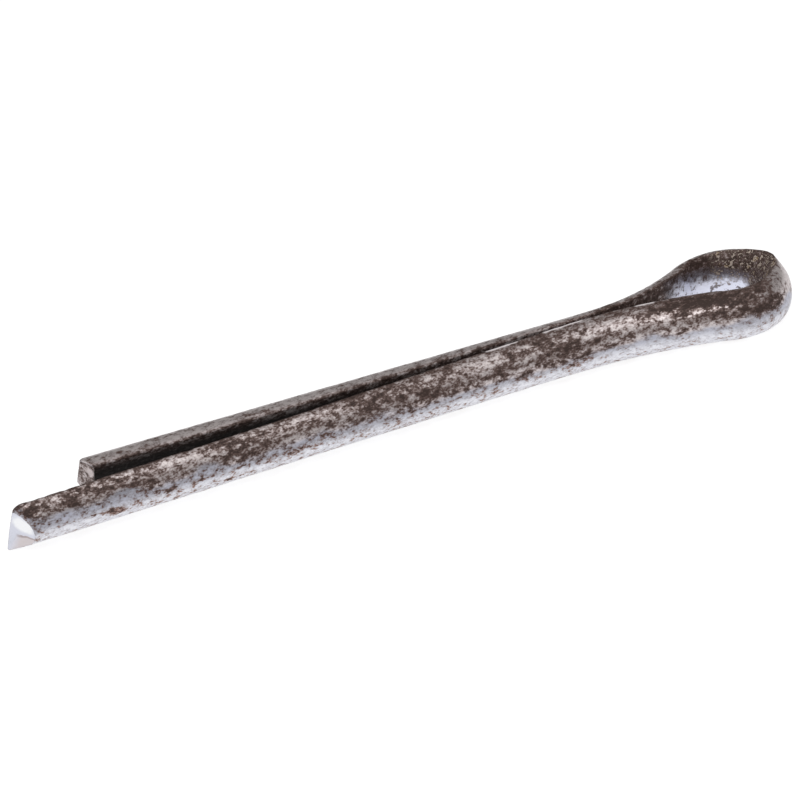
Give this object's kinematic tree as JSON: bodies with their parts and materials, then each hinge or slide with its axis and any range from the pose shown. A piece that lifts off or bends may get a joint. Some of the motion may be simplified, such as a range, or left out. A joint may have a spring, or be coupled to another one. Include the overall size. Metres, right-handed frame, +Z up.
{
  "type": "cotter pin",
  "caption": "Used cotter pin: half-round wire folded flat to flat round an eye, one leg longer, lying on its side.",
  "frame": {"origin": "middle of the pin's footprint, on the floor that it lies on", "axes": "+X along the pin towards its eye, +Z up through the eye, the long leg on the -Y side"},
  "size_m": [0.057, 0.0092, 0.0046],
  "materials": {
    "worn_zinc_steel": "worn zinc plating with rust specks"
  },
  "bodies": {
    "root": {"cotter_pin": "worn_zinc_steel"}
  },
  "joints": []
}
